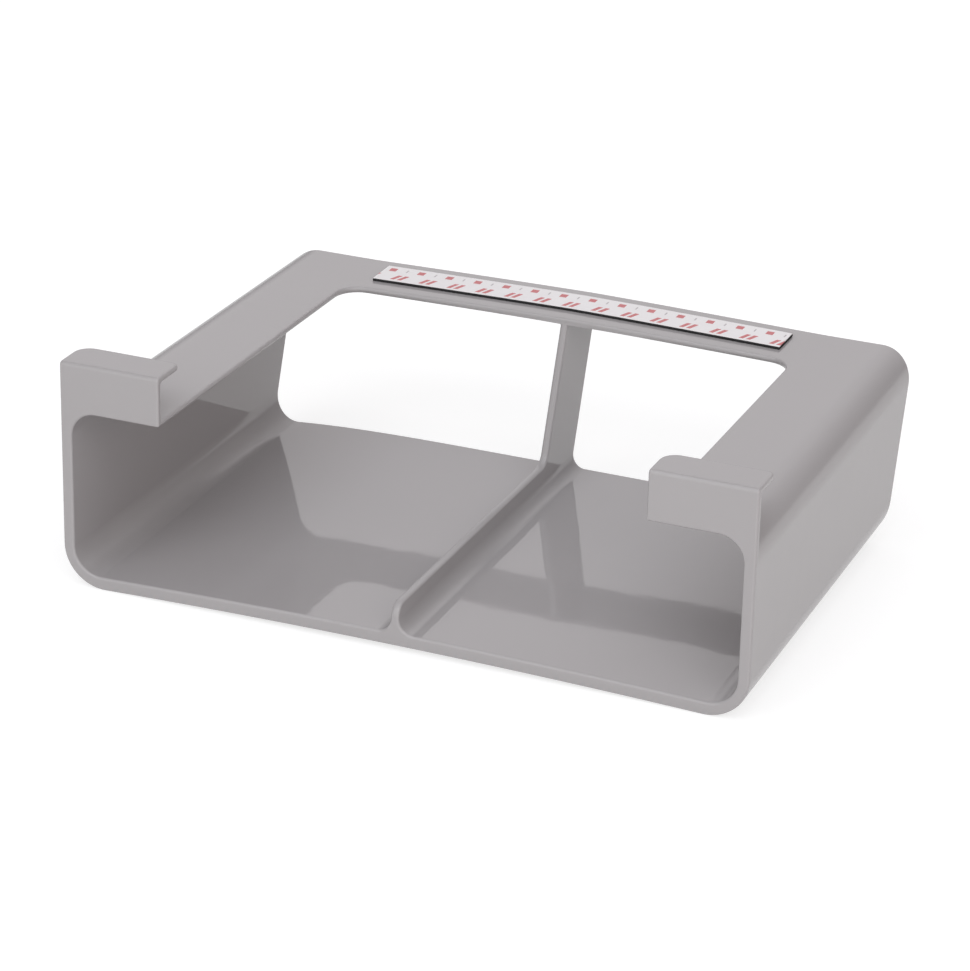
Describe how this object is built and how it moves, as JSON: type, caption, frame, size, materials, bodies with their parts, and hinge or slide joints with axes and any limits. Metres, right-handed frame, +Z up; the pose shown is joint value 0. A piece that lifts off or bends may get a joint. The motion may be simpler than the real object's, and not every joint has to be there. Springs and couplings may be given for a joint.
{
  "type": "under-shelf organiser",
  "caption": "Open tube-shaped plastic organiser with a centre divider that hooks over a shelf board's front edge and sticks under it with foam tape at the back.",
  "frame": {"origin": "under the middle of the whole object, at the level of the floor's underside, on which it stands", "axes": "+X to the user's right across the open front, +Y from the open front to the back rail, +Z up"},
  "size_m": [0.33, 0.234, 0.109],
  "materials": {
    "grey_plastic": "satin-gloss moulded",
    "black_foam": "matt closed-cell foam",
    "liner_paper": "smooth coated, with small red marks"
  },
  "bodies": {
    "organiser": {"organiser_body": "grey_plastic", "foam_tape": "black_foam"},
    "liner": {"release_liner": "liner_paper"}
  },
  "joints": [
    {"name": "liner_lift", "type": "slide", "parent": "organiser", "child": "liner", "axis": [0, 0, 1], "range_m": [0, 0.03]}
  ]
}
